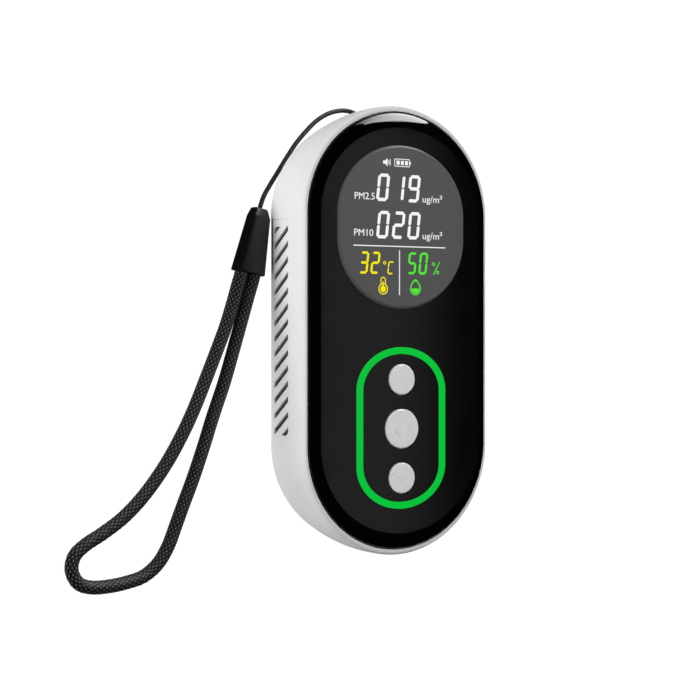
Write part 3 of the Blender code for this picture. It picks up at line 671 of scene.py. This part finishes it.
recesses = bmesh.new()
slots = bmesh.new()
for side in (-1, 1):
    wall_x = side * (BODY_HALF_WIDTH - VENT_RECESS)
    # The recess outside, and a pocket inside that thins the wall, where a mesh keeps the dust out.
    for xs, (low, high) in (
        ((wall_x, side * (BODY_HALF_WIDTH + 2.0)), RECESS_Z),
        ((wall_x - side * VENT_WALL, wall_x - side * (VENT_WALL + 3.0)), POCKET_Z),
    ):
        add_block(
            recesses,
            (min(xs), VENT_FIELD_Y[0] - VENT_MARGIN, low),
            (max(xs), VENT_FIELD_Y[1] + VENT_MARGIN, high),
        )
    for number in range(VENT_COUNT):
        slot = bmesh.new()
        front_y = VENT_FIRST - number * VENT_PITCH
        add_block(
            slot,
            (side * 28.0 - 2.0, front_y - VENT_WIDTH / 2, VENT_FIELD_Z[0]),
            (side * 28.0 + 2.0, front_y + VENT_WIDTH / 2, VENT_FIELD_Z[1]),
        )
        for vert in slot.verts:
            fall = (VENT_FIELD_Z[1] * MM - vert.co.z) / (VENT_FIELD_Z[1] - VENT_FIELD_Z[0])
            vert.co.y -= fall * VENT_LEAN
        for limit, outward in ((VENT_FIELD_Y[1], 1), (VENT_FIELD_Y[0], -1)):
            bmesh.ops.bisect_plane(
                slot, geom=slot.verts[:] + slot.edges[:] + slot.faces[:], dist=1e-7,
                plane_co=(0.0, limit * MM, 0.0), plane_no=(0.0, outward, 0.0), clear_outer=True,
            )
            bmesh.ops.holes_fill(slot, edges=[e for e in slot.edges if e.is_boundary], sides=0)
        through = [e for e in slot.edges if abs((e.verts[0].co - e.verts[1].co).x) > 3 * MM]
        bmesh.ops.bevel(
            slot, geom=through, offset=VENT_CORNER * MM, segments=4, profile=0.5,
            affect="EDGES", material=-1, clamp_overlap=True,
        )
        rounded = bpy.data.meshes.new("slot")
        slot.to_mesh(rounded)
        slot.free()
        slots.from_mesh(rounded)
        bpy.data.meshes.remove(rounded)
add_block(slots, *CONNECTOR_MOUTH)
add_rod(slots, *STRING_HOLE, 8.0, across="X")
carve(housing, recesses)
carve(housing, slots)
flatten_shading(housing, 18.0)
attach(housing, "case")
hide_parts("housing")


# --- Glass panel ---
# Glossy black acrylic that fills the rim. Its edge rolls down to the rim, and it has a seat for the
# display window, a groove for the light ring and three holes for the keys.
PANEL_FACE = 22.8
PANEL_BACK = 20.3
PANEL_HALF_WIDTH = 27.75
PANEL_STRAIGHT = 30.15
ROLL_WIDTH = (2.85, 4.2)  # at the sides, at the ends
ROLL_STEPS = 14

WINDOW_MIDDLE = 27.4
WINDOW = (20.0, 3.1, 18.5)  # half width, half straight, end depth
WINDOW_SEAT = 21.2

RING_MIDDLE = -25.8
RING_OUTER = (14.1, 9.9, 11.5)
RING_INNER = (12.0, 9.9, 9.75)
RING_SEAT = 21.4

KEY_MIDDLE = -26.0
KEY_PITCH = 13.07
KEY_GAP = 0.25
KEYS = {"up": (KEY_PITCH, 4.1), "centre": (0.0, 5.25), "down": (-KEY_PITCH, 4.1)}


def grown(sizes, outward):
    """An oblong's sizes, made larger all round."""
    half_width, straight, end_depth = sizes
    return (half_width + outward, straight, end_depth + outward)


panel_finish, panel_tree, panel_shader = new_finish("polished_black_acrylic", IOR=1.49)
# Wiping leaves a faint haze in patches a centimetre or so across.
panel_haze = add_node(
    panel_tree, "ShaderNodeTexNoise",
    {"Vector": object_place(panel_tree), "Scale": 90.0, "Detail": 4.0},
)
add_node(
    panel_tree, "ShaderNodeMapRange", {0: panel_haze, 1: 0.35, 2: 0.7, 3: 0.03, 4: 0.07},
    panel_shader.inputs["Roughness"],
)
add_node(
    panel_tree, "ShaderNodeValToRGB", {"Fac": panel_haze}, panel_shader.inputs["Base Color"],
    stops=((0.0, "#020202"), (1.0, "#060606")),
)

panel_outlines = [(PANEL_HALF_WIDTH, PANEL_STRAIGHT, PANEL_HALF_WIDTH, PANEL_BACK)]
for step in range(ROLL_STEPS + 1):
    turn = math.radians(90) * step / ROLL_STEPS
    across, along = [PANEL_HALF_WIDTH - width * (1 - math.cos(turn)) for width in ROLL_WIDTH]
    height = RIM_TOP + (PANEL_FACE - RIM_TOP) * math.sin(turn)
    panel_outlines.append((across, PANEL_STRAIGHT, along, height))
panel_shape = bmesh.new()
add_skin(panel_shape, panel_outlines, steps=160)
panel = set_piece("glass_panel", panel_shape, panel_finish)

openings = bmesh.new()
add_skin(
    openings,
    [
        (*grown(WINDOW, -1.5), PANEL_BACK - 1.0), (*grown(WINDOW, -1.5), WINDOW_SEAT),
        (*grown(WINDOW, 0.06), WINDOW_SEAT), (*grown(WINDOW, 0.06), PANEL_FACE + 1.0),
    ],
    middle=WINDOW_MIDDLE,
)
add_skin(
    openings,
    [
        (*grown(RING_OUTER, 0.05), RING_SEAT), (*grown(RING_OUTER, 0.05), 24.0),
        (*grown(RING_INNER, -0.05), 24.0), (*grown(RING_INNER, -0.05), RING_SEAT),
    ],
    round_again=True, middle=RING_MIDDLE,
)
for offset, radius in KEYS.values():
    add_rod(openings, (0.0, KEY_MIDDLE + offset, 21.5), radius + KEY_GAP, 5.0, steps=64)
carve(panel, openings)
flatten_shading(panel)
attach(panel, "case")
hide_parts("front_panel")


# --- Display window ---
# A grey-tinted polycarbonate lens, lightly frosted, that stands a little above the glass with a
# chamfer all round.
WINDOW_FACE = 23.37
WINDOW_CHAMFER = 0.6

window_finish = moulded_finish(
    "frosted_grey_lens", "#646464", "#626262", 0.3, 0.004, (0.28, 0.36), patch_mm=14.0,
    Specular_IOR_Level=0.12,
)
window_shape = bmesh.new()
add_skin(
    window_shape,
    [
        (*WINDOW, WINDOW_SEAT + 0.3), (*WINDOW, WINDOW_FACE - WINDOW_CHAMFER),
        (*grown(WINDOW, -WINDOW_CHAMFER + 0.03), WINDOW_FACE - 0.03),
        (*grown(WINDOW, -WINDOW_CHAMFER - 0.03), WINDOW_FACE),
    ],
    middle=WINDOW_MIDDLE, steps=160,
)
window = set_piece("display_lens", window_shape, window_finish, 30.0)
flatten_shading(window, 30.0)
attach(window, "case")
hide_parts("display_window")


# --- Display characters ---
# What the liquid crystal cell shows: two white readings in leaning seven-segment digits, with
# yellow and green ones below. Each colour is one thin layer of lit shapes on the window.
SEGMENTS_OF = {
    "0": "abcdef", "1": "bc", "2": "abged", "3": "abgcd", "5": "afgcd", "9": "abcdfg", "C": "adef",
}
LAYER_THICKNESS = 0.03
DIGIT_LEAN = 0.116


def lit_finish(name, pale, dim, glow):
    """Lit liquid crystal: an even glow, with the faint unevenness of the film behind it."""
    made, tree, shader = new_finish(
        name, Base_Color=(0.003, 0.003, 0.003, 1.0), Roughness=0.4, Specular_IOR_Level=0.1,
        Emission_Strength=glow,
    )
    film = add_node(tree, "ShaderNodeTexNoise", {"Vector": object_place(tree), "Scale": 700.0})
    add_node(
        tree, "ShaderNodeValToRGB", {"Fac": film}, shader.inputs["Emission Color"],
        stops=((0.0, dim), (1.0, pale)),
    )
    return made


def add_segment(shape, start, end, thick, gap=0.1):
    """One bar of a digit, pointed at both ends, between two points in mm."""
    start, end = Vector((*start, 0.0)), Vector((*end, 0.0))
    run = end - start
    bar = bmesh.ops.create_circle(shape, cap_ends=True, segments=6, radius=MM)["verts"]
    bmesh.ops.scale(shape, verts=bar, vec=(thick / 2, thick / 2 / math.cos(math.pi / 6), 1.0))
    quarter = Matrix.Rotation(math.pi / 2, 3, "Z")
    bmesh.ops.rotate(shape, verts=bar, matrix=quarter)
    for side in (1, -1):
        half = [v for v in bar if v.co.x * side > 0.01 * thick * MM]
        reach = side * (run.length / 2 - thick / 2 - gap) * MM
        bmesh.ops.translate(shape, verts=half, vec=(reach, 0.0, 0.0))
    turn = Matrix.Rotation(math.atan2(run.y, run.x), 3, "Z")
    bmesh.ops.rotate(shape, verts=bar, matrix=turn)
    bmesh.ops.translate(shape, verts=bar, vec=(start + end) / 2 * MM)
    return bar


def add_digit(shape, character, left, base, width, height, thick):
    """A seven-segment digit whose lower left corner is at (left, base), in mm."""
    inset = thick / 2
    low, mid, high = base + inset, base + height / 2, base + height - inset
    near, far = left + inset, left + width - inset
    places = {
        "a": ((near, high), (far, high)), "b": ((far, high), (far, mid)),
        "c": ((far, mid), (far, low)), "d": ((near, low), (far, low)),
        "e": ((near, mid), (near, low)), "f": ((near, high), (near, mid)),
        "g": ((near, mid), (far, mid)),
    }
    for segment in SEGMENTS_OF[character]:
        for vert in add_segment(shape, *places[segment], thick):
            vert.co.x += (vert.co.y - base * MM) * DIGIT_LEAN


def add_text(shape, words, left, base, width, height):
    """Words in the plain built-in typeface, stretched to a box in mm, as flat faces."""
    curve = bpy.data.curves.new("words", "FONT")
    curve.body = words
    curve.resolution_u = 4
    item = bpy.data.objects.new("words", curve)
    bpy.context.scene.collection.objects.link(item)
    graph = bpy.context.evaluated_depsgraph_get()
    flat = bpy.data.meshes.new_from_object(item.evaluated_get(graph))
    before = set(shape.verts)
    shape.from_mesh(flat)
    added = [vert for vert in shape.verts if vert not in before]
    bpy.data.objects.remove(item)
    bpy.data.curves.remove(curve)
    bpy.data.meshes.remove(flat)
    xs = [vert.co.x for vert in added]
    ys = [vert.co.y for vert in added]
    stretch = (width * MM / (max(xs) - min(xs)), height * MM / (max(ys) - min(ys)), 1.0)
    bmesh.ops.translate(shape, verts=added, vec=(-min(xs), -min(ys), 0.0))
    bmesh.ops.scale(shape, verts=added, vec=stretch)
    bmesh.ops.translate(shape, verts=added, vec=(left * MM, base * MM, 0.0))


def add_bar(shape, low, high):
    """A flat rectangle between two corners, in mm."""
    corners = bmesh.ops.create_grid(shape, x_segments=1, y_segments=1, size=0.5)["verts"]
    size = Vector((*high, 0.0)) - Vector((*low, 0.0))
    bmesh.ops.scale(shape, verts=corners, vec=(size.x * MM, size.y * MM, 1.0))
    bmesh.ops.translate(shape, verts=corners, vec=(Vector((*low, 0.0)) + size / 2) * MM)
    return corners


def add_hoop(shape, centre, outer, inner, steps=28):
    """A flat ring, or a disc where inner is 0."""
    middle = place_mm(*centre)
    edges = []
    for radius in (outer, inner):
        if radius:
            verts = bmesh.ops.create_circle(
                shape, cap_ends=not inner, segments=steps, radius=radius * MM, matrix=middle
            )["verts"]
            edges += {edge for vert in verts for edge in vert.link_edges}
    if inner:
        bmesh.ops.bridge_loops(shape, edges=edges)


def set_layer(name, shape, finish):
    """Gives flat shapes the layer's thickness and puts them on the window."""
    bmesh.ops.recalc_face_normals(shape, faces=shape.faces)
    for face in [f for f in shape.faces if f.normal.z < 0]:
        face.normal_flip()
    raised = bmesh.ops.extrude_face_region(shape, geom=shape.faces[:])["geom"]
    bmesh.ops.translate(shape, verts=verts_of(raised), vec=(0.0, 0.0, LAYER_THICKNESS * MM))
    bmesh.ops.translate(shape, verts=shape.verts, vec=(0.0, 0.0, WINDOW_FACE * MM))
    layer = set_piece(name, shape, finish, 30.0)
    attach(layer, "case")


white_layer = bmesh.new()
for base, digits in ((33.95, "019"), (24.15, "020")):
    for number, digit in enumerate(digits):
        add_digit(white_layer, digit, -8.55 + 4.88 * number, base, 3.8, 7.4, 1.0)
    add_text(white_layer, "ug/m", 6.3, base - 0.35, 5.3, 2.35)
    add_text(white_layer, "3", 11.75, base + 1.2, 0.85, 1.1)
add_text(white_layer, "PM2.5", -15.05, 34.3, 6.2, 1.8)
add_text(white_layer, "PM10", -15.2, 24.75, 5.9, 1.8)
add_bar(white_layer, (-15.45, 22.1), (13.65, 22.36))
add_bar(white_layer, (-1.2, 9.4), (-0.93, 21.2))
speaker = add_bar(white_layer, (-6.25, 43.9), (-5.6, 44.7))
speaker_edges = {edge for vert in speaker for edge in vert.link_edges}
mouth = [e for e in speaker_edges if min(vert.co.x for vert in e.verts) > -5.7 * MM]
horn = verts_of(bmesh.ops.extrude_edge_only(white_layer, edges=mouth)["geom"])
bmesh.ops.translate(white_layer, verts=horn, vec=(0.75 * MM, 0.0, 0.0))
bmesh.ops.scale(
    white_layer, verts=horn, vec=(1.0, 2.7, 1.0),
    space=place_mm(0.0, -44.3),
)
for left, reach in ((-4.55, 0.55), (-4.1, 0.85)):
    add_bar(white_layer, (left, 44.3 - reach), (left + 0.2, 44.3 + reach))
for low, high in (
    ((-2.5, 45.2), (2.0, 45.4)), ((-2.5, 43.3), (2.0, 43.5)), ((-2.7, 43.4), (-2.5, 45.3)),
    ((2.0, 43.4), (2.2, 45.3)), ((2.2, 44.0), (2.5, 44.7)), ((-2.0, 43.8), (-1.0, 44.9)),
    ((-0.6, 43.8), (0.3, 44.9)), ((0.7, 43.8), (1.6, 44.9)),
):
    add_bar(white_layer, low, high)
white_finish = lit_finish("lit_white_crystal", "#ffffff", "#f6f6f6", 0.95)
set_layer("display_readings", white_layer, white_finish)

yellow_layer = bmesh.new()
for number, digit in enumerate("32"):
    add_digit(yellow_layer, digit, -13.85 + 3.5 * number, 14.8, 2.75, 5.95, 0.74)
add_digit(yellow_layer, "C", -5.0, 14.8, 2.0, 3.5, 0.46)
add_hoop(yellow_layer, (-5.75, 17.85), 0.48, 0.24, 16)
add_hoop(yellow_layer, (-6.2, 10.95), 1.5, 1.2)
add_hoop(yellow_layer, (-6.2, 10.95), 0.85, 0.0)
add_bar(yellow_layer, (-6.35, 11.7), (-6.05, 13.0))
for side in (-1, 1):
    left = -6.2 + side * 0.68 - 0.15
    add_bar(yellow_layer, (left, 12.3), (left + 0.3, 13.8))
add_bar(yellow_layer, (-6.7, 13.75), (-5.7, 14.1))
yellow_finish = lit_finish("lit_yellow_crystal", "#fff000", "#f4e400", 0.95)
set_layer("display_temperature", yellow_layer, yellow_finish)

green_layer = bmesh.new()
for number, digit in enumerate("50"):
    add_digit(green_layer, digit, 1.25 + 3.54 * number, 14.9, 2.75, 5.95, 0.74)
add_hoop(green_layer, (9.85, 17.8), 0.5, 0.25, 16)
add_hoop(green_layer, (11.15, 15.6), 0.5, 0.25, 16)
add_segment(green_layer, (9.75, 14.9), (11.85, 18.4), 0.3, 0.0)
# A drop: two circles, drawn to a point above their middle, with a pool in it.
DROP_PLACE = (4.0, 11.1)
drop = []
for radius in (1.7, 1.35):
    drop += bmesh.ops.create_circle(
        green_layer, segments=32, radius=radius * MM, matrix=place_mm(*DROP_PLACE)
    )["verts"]
for vert in drop:
    above = max(0.0, vert.co.y / MM - DROP_PLACE[1])
    middle = DROP_PLACE[0] * MM
    vert.co.y += 0.5 * above * MM
    vert.co.x = middle + (vert.co.x - middle) * (1.0 - 0.135 * above * above)
bmesh.ops.bridge_loops(green_layer, edges=list({e for v in drop for e in v.link_edges}))
pool = bmesh.ops.create_circle(
    green_layer, cap_ends=True, segments=32, radius=1.15 * MM, matrix=place_mm(4.0, 11.05)
)["verts"]
for vert in pool:
    vert.co.y = min(vert.co.y, 11.2 * MM)
green_finish = lit_finish("lit_green_crystal", "#58f43a", "#4ee634", 0.95)
set_layer("display_humidity", green_layer, green_finish)


# --- Light ring ---
# A moulded light guide of green-tinted polycarbonate, flush with the glass round the three keys. It
# is lit from the board, so its face glows evenly.
RING_EDGE = 0.06

ring_finish = lit_finish("lit_green_light_guide", "#00cb3d", "#00c63a", 0.93)
ring_shape = bmesh.new()
add_skin(
    ring_shape,
    [
        (*RING_OUTER, RING_SEAT + 0.3), (*RING_OUTER, PANEL_FACE - RING_EDGE),
        (*grown(RING_OUTER, -RING_EDGE), PANEL_FACE), (*grown(RING_INNER, RING_EDGE), PANEL_FACE),
        (*RING_INNER, PANEL_FACE - RING_EDGE), (*RING_INNER, RING_SEAT + 0.3),
    ],
    round_again=True, middle=RING_MIDDLE,
)
ring = set_piece("glow_ring", ring_shape, ring_finish, 30.0)
legs = bmesh.new()
for side in (-1, 1):
    for end in (-1, 1):
        add_rod(legs, (side * 13.05, RING_MIDDLE + end * 6.0, 18.45), 0.7, 7.5)
carve(ring, legs, "UNION")
flatten_shading(ring, 30.0)
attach(ring, "case")
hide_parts("light_ring")


# --- Keys ---
# Three round caps moulded in pale grey ABS, each with a flange under the glass and a stem to its
# switch. A triangle or a ring stands very slightly proud of each face.
KEY_FACE = 23.25
KEY_FOOT = 16.1
FLANGE_HEIGHTS = (19.0, 19.9)
SYMBOL_RISE = 0.14
SYMBOL_ROOT = 0.2  # how far it reaches down into the cap

key_finish = moulded_finish(
    "pale_grey_abs_key", "#fafafb", "#f5f5f6", 0.25, 0.006, (0.4, 0.5), patch_mm=5.0
)


def add_symbol(shape, name, middle):
    """The raised mark of a key: a triangle with rounded corners, or a ring."""
    place = place_mm(0.0, middle, KEY_FACE - SYMBOL_ROOT)
    if name == "centre":
        for radius in (2.3, 1.85):
            bmesh.ops.create_circle(shape, segments=40, radius=radius * MM, matrix=place)
        bmesh.ops.bridge_loops(shape, edges=shape.edges[:])
    else:
        turn = Matrix.Rotation(math.pi if name == "down" else 0.0, 4, "Z")
        corners = bmesh.ops.create_circle(
            shape, cap_ends=True, segments=3, radius=1.75 * MM, matrix=place @ turn
        )["verts"]
        round_off(shape, corners, 0.3, 3, "VERTICES")
    raised = bmesh.ops.extrude_face_region(shape, geom=shape.faces[:])["geom"]
    bmesh.ops.translate(
        shape, verts=verts_of(raised), vec=(0.0, 0.0, (SYMBOL_ROOT + SYMBOL_RISE) * MM)
    )


for name, (offset, radius) in KEYS.items():
    middle = KEY_MIDDLE + offset
    cap_shape = bmesh.new()
    profile = [
        (0.0, KEY_FOOT), (1.6, KEY_FOOT), (1.6, FLANGE_HEIGHTS[0]),
        *((radius + 1.0, height) for height in FLANGE_HEIGHTS),
        (radius, FLANGE_HEIGHTS[1]), (radius, KEY_FACE - 0.5),
    ]
    for k in range(1, 7):
        turn = math.radians(15 * k)
        profile.append(
            (radius - 0.45 * (1 - math.cos(turn)), KEY_FACE - 0.5 + 0.5 * math.sin(turn))
        )
    profile.append((0.0, KEY_FACE))
    line = [cap_shape.verts.new(Vector((x, 0.0, z)) * MM) for x, z in profile]
    for a, b in zip(line, line[1:]):
        cap_shape.edges.new((a, b))
    bmesh.ops.spin(
        cap_shape, geom=cap_shape.verts[:] + cap_shape.edges[:], cent=(0.0, 0.0, 0.0),
        axis=(0.0, 0.0, 1.0), angle=math.tau, steps=64, use_merge=True,
    )
    bmesh.ops.remove_doubles(cap_shape, verts=cap_shape.verts, dist=0.001 * MM)
    bmesh.ops.translate(cap_shape, verts=cap_shape.verts, vec=(0.0, middle * MM, 0.0))
    cap = set_piece(f"key_{name}", cap_shape, key_finish)
    symbol = bmesh.new()
    add_symbol(symbol, name, middle)
    carve(cap, symbol, "UNION")
    flatten_shading(cap, 30.0)
    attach(cap, f"key_{name}")
    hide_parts(f"button_{name}")


# --- Rear cover ---
# A flat lid of the same off-white ABS that closes the back, held by four screws sunk in it.
def dress(finish, *nodes):
    """Gives CAD nodes their finish."""
    for node in nodes:
        slots_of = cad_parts[node].data.materials
        slots_of.clear()
        slots_of.append(finish)


dress(shell_finish, "rear_cover")

# --- Screws, connector shell and pin ---
# Steel, zinc plated and passivated: bright, a little cloudy, with fine lines from the forming.
dress(
    moulded_finish(
        "zinc_plated_steel", "#c9cacd", "#b4b6ba", 0.2, 0.004, (0.22, 0.4), patch_mm=0.8,
        Metallic=1.0,
    ),
    *(f"cover_screw_{number}" for number in (1, 2, 3, 4)),
    *(f"board_screw_{number}" for number in (1, 2, 3)),
    "usb_port", "lanyard_pin", "sensor_lid",
)

# --- Circuit boards ---
# Glass-epoxy laminate under green solder resist. Copper tracks show through it as paler lines.
board_finish, board_tree, board_shader = new_finish("green_solder_resist", Roughness=0.32)
board_place = object_place(board_tree)
# Tracks 0.3 mm wide on a 1.2 mm grid, broken up so that they run in short lengths.
add_node(
    board_tree, "ShaderNodeTexBrick",
    {
        "Vector": board_place, "Scale": 1000.0 / 6.0, "Mortar Size": 0.05, "Mortar Smooth": 0.2,
        "Brick Width": 1.6, "Row Height": 0.2, "Color1": linear("#0f4a26"),
        "Color2": linear("#0c4121"), "Mortar": linear("#1b6a3a"),
    },
    board_shader.inputs["Base Color"], offset=0.37, squash=0.7, squash_frequency=3,
)
board_weave = add_node(
    board_tree, "ShaderNodeTexNoise", {"Vector": board_place, "Scale": 1800.0, "Detail": 2.0}
)
add_node(
    board_tree, "ShaderNodeBump", {"Height": board_weave, "Distance": 0.01 * MM},
    board_shader.inputs["Normal"],
)
dress(board_finish, "main_board", "climate_board")

# --- Switches, chips, guide plate and sensor case ---
# Black glass-filled nylon and moulding compound, with the dull, slightly speckled skin of both.
dress(
    moulded_finish(
        "black_glass_filled_nylon", "#242425", "#18181a", 0.3, 0.01, (0.45, 0.62), patch_mm=2.5
    ),
    "switch_up", "switch_centre", "switch_down", "button_frame", "control_chip", "buzzer",
    "sensor_case", "fan_rotor", "photodiode",
)

# --- Plungers, plug, lamps and backlight ---
# White acetal and nylon, faintly waxy.
dress(
    moulded_finish(
        "white_acetal", "#eceae4", "#e2dfd8", 0.4, 0.006, (0.35, 0.45), patch_mm=3.0
    ),
    "plunger_up", "plunger_centre", "plunger_down", "battery_plug", "led_1", "led_2", "led_3",
    "led_4", "lcd_backlight", "climate_sensor",
)

# --- Liquid crystal cell ---
# Two sheets of thin glass with polarising film, nearly black when it isn't lit.
dress(
    moulded_finish(
        "polarised_glass_cell", "#26292a", "#1c1f20", 0.5, 0.002, (0.06, 0.12), patch_mm=12.0
    ),
    "lcd_glass",
)

# --- Battery ---
# A lithium pouch cell in aluminium laminate, softly crinkled, with a red silicone lead.
dress(
    moulded_finish(
        "aluminium_laminate", "#aeb1b6", "#989ba1", 2.2, 0.05, (0.28, 0.42), patch_mm=6.0,
        Metallic=1.0,
    ),
    "battery",
)
dress(
    moulded_finish(
        "red_silicone_lead", "#c01f1c", "#a51917", 0.2, 0.004, (0.4, 0.5), patch_mm=3.0
    ),
    "battery_lead",
)

# --- Laser barrel and fan bearing ---
# Turned brass, with a fine satin tooth from the tool.
dress(
    moulded_finish(
        "turned_brass", "#c9a864", "#b5924e", 0.12, 0.003, (0.2, 0.32), patch_mm=1.5,
        Metallic=1.0,
    ),
    "laser_module", "fan_bearing",
)

# --- Display flex ---
# Amber polyimide film, a little cloudy over the copper under it.
dress(
    moulded_finish(
        "amber_polyimide", "#b9701f", "#a05c14", 0.6, 0.003, (0.2, 0.3), patch_mm=1.0
    ),
    "lcd_flex",
)

# --- Dust mesh behind the vents ---
# Woven polyester monofilament, dark grey. Real threads are 0.1 mm apart; these are 0.4 mm apart.
THREAD_PITCH = 0.4 * MM

mesh_finish, mesh_tree, mesh_shader = new_finish("woven_dust_mesh", Roughness=0.8)
mesh_axes = add_node(mesh_tree, "ShaderNodeSeparateXYZ", {0: object_place(mesh_tree)})
mesh_waves = []
for axis in ("Y", "Z"):
    turns = add_node(
        mesh_tree, "ShaderNodeMath", {0: mesh_axes.outputs[axis], 1: math.tau / THREAD_PITCH},
        operation="MULTIPLY",
    )
    mesh_waves.append(add_node(mesh_tree, "ShaderNodeMath", {0: turns}, operation="SINE"))
mesh_height = add_node(
    mesh_tree, "ShaderNodeMath", dict(enumerate(mesh_waves)), operation="MAXIMUM"
)
add_node(
    mesh_tree, "ShaderNodeValToRGB", {"Fac": mesh_height}, mesh_shader.inputs["Base Color"],
    stops=((0.0, "#2c2c2c"), (1.0, "#5c5c5c")),
)
add_node(
    mesh_tree, "ShaderNodeBump", {"Height": mesh_height, "Distance": 0.05 * MM},
    mesh_shader.inputs["Normal"],
)
dress(mesh_finish, "vent_mesh_left", "vent_mesh_right")

# --- Foam tape under the glass ---
# Closed-cell acrylic foam, black and matt.
dress(
    moulded_finish(
        "black_acrylic_foam", "#202020", "#141414", 0.35, 0.03, (0.75, 0.9), patch_mm=1.5
    ),
    "panel_tape",
)
